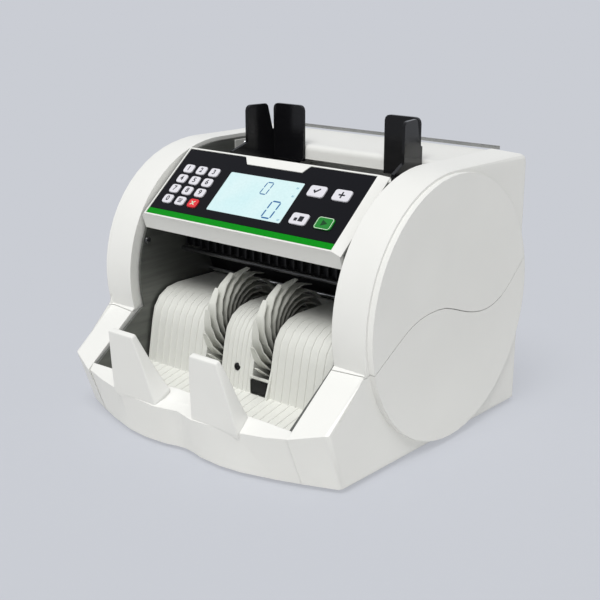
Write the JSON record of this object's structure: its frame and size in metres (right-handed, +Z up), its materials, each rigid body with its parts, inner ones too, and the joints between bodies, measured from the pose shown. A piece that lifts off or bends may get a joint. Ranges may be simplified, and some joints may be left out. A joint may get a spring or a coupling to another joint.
{
  "type": "banknote counter",
  "caption": "Desktop machine that feeds banknotes from a top hopper past a control panel and stacks them with fan wheels behind a pronged lip.",
  "frame": {"origin": "middle of the overall footprint, at the level of the feet", "axes": "+Z up, -Y towards the operator, +X to the operator's right"},
  "size_m": [0.295, 0.2973, 0.254],
  "materials": {
    "white_plastic": "warm white moulded plastic, satin",
    "black_plastic": "glossy black moulded plastic",
    "overlay_black": "smooth black membrane",
    "fan_plastic": "off-white flexible plastic",
    "grey_metal": "grey coated sheet steel",
    "bright_metal": "ground and plated steel",
    "dark_rubber": "black rubber",
    "key_white": "pale rubberised keys",
    "key_green": "green key",
    "key_red": "red key",
    "stripe_green": "printed green field",
    "display_glass": "lit pale cyan display",
    "clear_plastic": "clear acrylic",
    "board_green": "green circuit board"
  },
  "bodies": {
    "housing": {"base_housing": "white_plastic", "left_side_cover": "white_plastic", "right_side_cover": "white_plastic", "front_lip": "white_plastic", "stacker_guide": "white_plastic", "stacker_screw": "bright_metal", "panel_housing": "white_plastic", "control_overlay": "overlay_black", "green_stripe": "stripe_green", "display_window": "display_glass", "left_side_frame": "grey_metal", "right_side_frame": "grey_metal", "left_frame_screw": "bright_metal", "hopper_floor": "grey_metal", "note_comb": "black_plastic", "lower_note_guide": "black_plastic", "front_tie_rod": "bright_metal", "rear_tie_rod": "bright_metal", "retard_roller": "dark_rubber", "rear_housing": "white_plastic", "rear_panel": "white_plastic", "clear_top_plate": "clear_plastic", "drive_motor": "grey_metal", "main_board": "board_green", "power_supply": "grey_metal", "power_inlet": "black_plastic", "guide_rail": "bright_metal", "drive_belt": "dark_rubber", "front_left_foot": "dark_rubber", "front_right_foot": "dark_rubber", "rear_left_foot": "dark_rubber", "rear_right_foot": "dark_rubber"},
    "fan_rotor": {"fan_shaft": "bright_metal", "left_fan_wheel": "fan_plastic", "right_fan_wheel": "fan_plastic", "fan_pulley": "black_plastic"},
    "motor_rotor": {"motor_pulley": "black_plastic"},
    "feed_rotor": {"feed_roller": "dark_rubber", "feed_pulley": "black_plastic"},
    "pickup_rotor": {"pickup_roller": "dark_rubber", "pickup_pulley": "black_plastic"},
    "left_guide": {"left_hopper_guide": "black_plastic"},
    "right_guide": {"right_hopper_guide": "black_plastic"},
    "rocker": {"power_switch": "dark_rubber"},
    "key_1_cap": {"key_1": "key_white"},
    "key_2_cap": {"key_2": "key_white"},
    "key_3_cap": {"key_3": "key_white"},
    "key_4_cap": {"key_4": "key_white"},
    "key_5_cap": {"key_5": "key_white"},
    "key_6_cap": {"key_6": "key_white"},
    "key_7_cap": {"key_7": "key_white"},
    "key_8_cap": {"key_8": "key_white"},
    "key_9_cap": {"key_9": "key_white"},
    "key_0_cap": {"key_0": "key_white"},
    "key_mode_cap": {"key_mode": "key_white"},
    "key_clear_cap": {"key_clear": "key_red"},
    "key_check_cap": {"key_check": "key_white"},
    "key_add_cap": {"key_add": "key_white"},
    "key_size_cap": {"key_size": "key_white"},
    "key_restart_cap": {"key_restart": "key_green"}
  },
  "joints": [
    {"name": "fan_spin", "type": "hinge", "parent": "housing", "child": "fan_rotor", "pos_m": [0, -0.0293, 0.083], "axis": [1, 0, 0], "continuous": true},
    {"name": "motor_spin", "type": "hinge", "parent": "housing", "child": "motor_rotor", "pos_m": [0, 0.0892, 0.0635], "axis": [1, 0, 0], "continuous": true},
    {"name": "feed_spin", "type": "hinge", "parent": "housing", "child": "feed_rotor", "pos_m": [0, 0.0062, 0.1565], "axis": [1, 0, 0], "continuous": true},
    {"name": "pickup_spin", "type": "hinge", "parent": "housing", "child": "pickup_rotor", "pos_m": [0, 0.0392, 0.1723], "axis": [1, 0, 0], "continuous": true},
    {"name": "left_guide_slide", "type": "slide", "parent": "housing", "child": "left_guide", "axis": [1, 0, 0], "range_m": [-0.0175, 0.025]},
    {"name": "right_guide_slide", "type": "slide", "parent": "housing", "child": "right_guide", "axis": [1, 0, 0], "range_m": [-0.025, 0.0175]},
    {"name": "power_rock", "type": "hinge", "parent": "housing", "child": "rocker", "pos_m": [-0.038, 0.1388, 0.0455], "axis": [1, 0, 0], "range_deg": [-16, 0]},
    {"name": "key_1_press", "type": "slide", "parent": "housing", "child": "key_1_cap", "axis": [0, 0.6494, -0.7604], "range_m": [0, 0.0006], "stiffness_N_per_m": 600},
    {"name": "key_2_press", "type": "slide", "parent": "housing", "child": "key_2_cap", "axis": [0, 0.6494, -0.7604], "range_m": [0, 0.0006], "stiffness_N_per_m": 600},
    {"name": "key_3_press", "type": "slide", "parent": "housing", "child": "key_3_cap", "axis": [0, 0.6494, -0.7604], "range_m": [0, 0.0006], "stiffness_N_per_m": 600},
    {"name": "key_4_press", "type": "slide", "parent": "housing", "child": "key_4_cap", "axis": [0, 0.6494, -0.7604], "range_m": [0, 0.0006], "stiffness_N_per_m": 600},
    {"name": "key_5_press", "type": "slide", "parent": "housing", "child": "key_5_cap", "axis": [0, 0.6494, -0.7604], "range_m": [0, 0.0006], "stiffness_N_per_m": 600},
    {"name": "key_6_press", "type": "slide", "parent": "housing", "child": "key_6_cap", "axis": [0, 0.6494, -0.7604], "range_m": [0, 0.0006], "stiffness_N_per_m": 600},
    {"name": "key_7_press", "type": "slide", "parent": "housing", "child": "key_7_cap", "axis": [0, 0.6494, -0.7604], "range_m": [0, 0.0006], "stiffness_N_per_m": 600},
    {"name": "key_8_press", "type": "slide", "parent": "housing", "child": "key_8_cap", "axis": [0, 0.6494, -0.7604], "range_m": [0, 0.0006], "stiffness_N_per_m": 600},
    {"name": "key_9_press", "type": "slide", "parent": "housing", "child": "key_9_cap", "axis": [0, 0.6494, -0.7604], "range_m": [0, 0.0006], "stiffness_N_per_m": 600},
    {"name": "key_0_press", "type": "slide", "parent": "housing", "child": "key_0_cap", "axis": [0, 0.6494, -0.7604], "range_m": [0, 0.0006], "stiffness_N_per_m": 600},
    {"name": "key_mode_press", "type": "slide", "parent": "housing", "child": "key_mode_cap", "axis": [0, 0.6494, -0.7604], "range_m": [0, 0.0006], "stiffness_N_per_m": 600},
    {"name": "key_clear_press", "type": "slide", "parent": "housing", "child": "key_clear_cap", "axis": [0, 0.6494, -0.7604], "range_m": [0, 0.0006], "stiffness_N_per_m": 600},
    {"name": "key_check_press", "type": "slide", "parent": "housing", "child": "key_check_cap", "axis": [0, 0.6494, -0.7604], "range_m": [0, 0.0006], "stiffness_N_per_m": 600},
    {"name": "key_add_press", "type": "slide", "parent": "housing", "child": "key_add_cap", "axis": [0, 0.6494, -0.7604], "range_m": [0, 0.0006], "stiffness_N_per_m": 600},
    {"name": "key_size_press", "type": "slide", "parent": "housing", "child": "key_size_cap", "axis": [0, 0.6494, -0.7604], "range_m": [0, 0.0006], "stiffness_N_per_m": 600},
    {"name": "key_restart_press", "type": "slide", "parent": "housing", "child": "key_restart_cap", "axis": [0, 0.6494, -0.7604], "range_m": [0, 0.0006], "stiffness_N_per_m": 600}
  ],
  "couplings": [
    {"joint": "motor_spin", "follows": "fan_spin", "ratio": 3},
    {"joint": "feed_spin", "follows": "fan_spin", "ratio": 2},
    {"joint": "pickup_spin", "follows": "fan_spin", "ratio": 2}
  ]
}
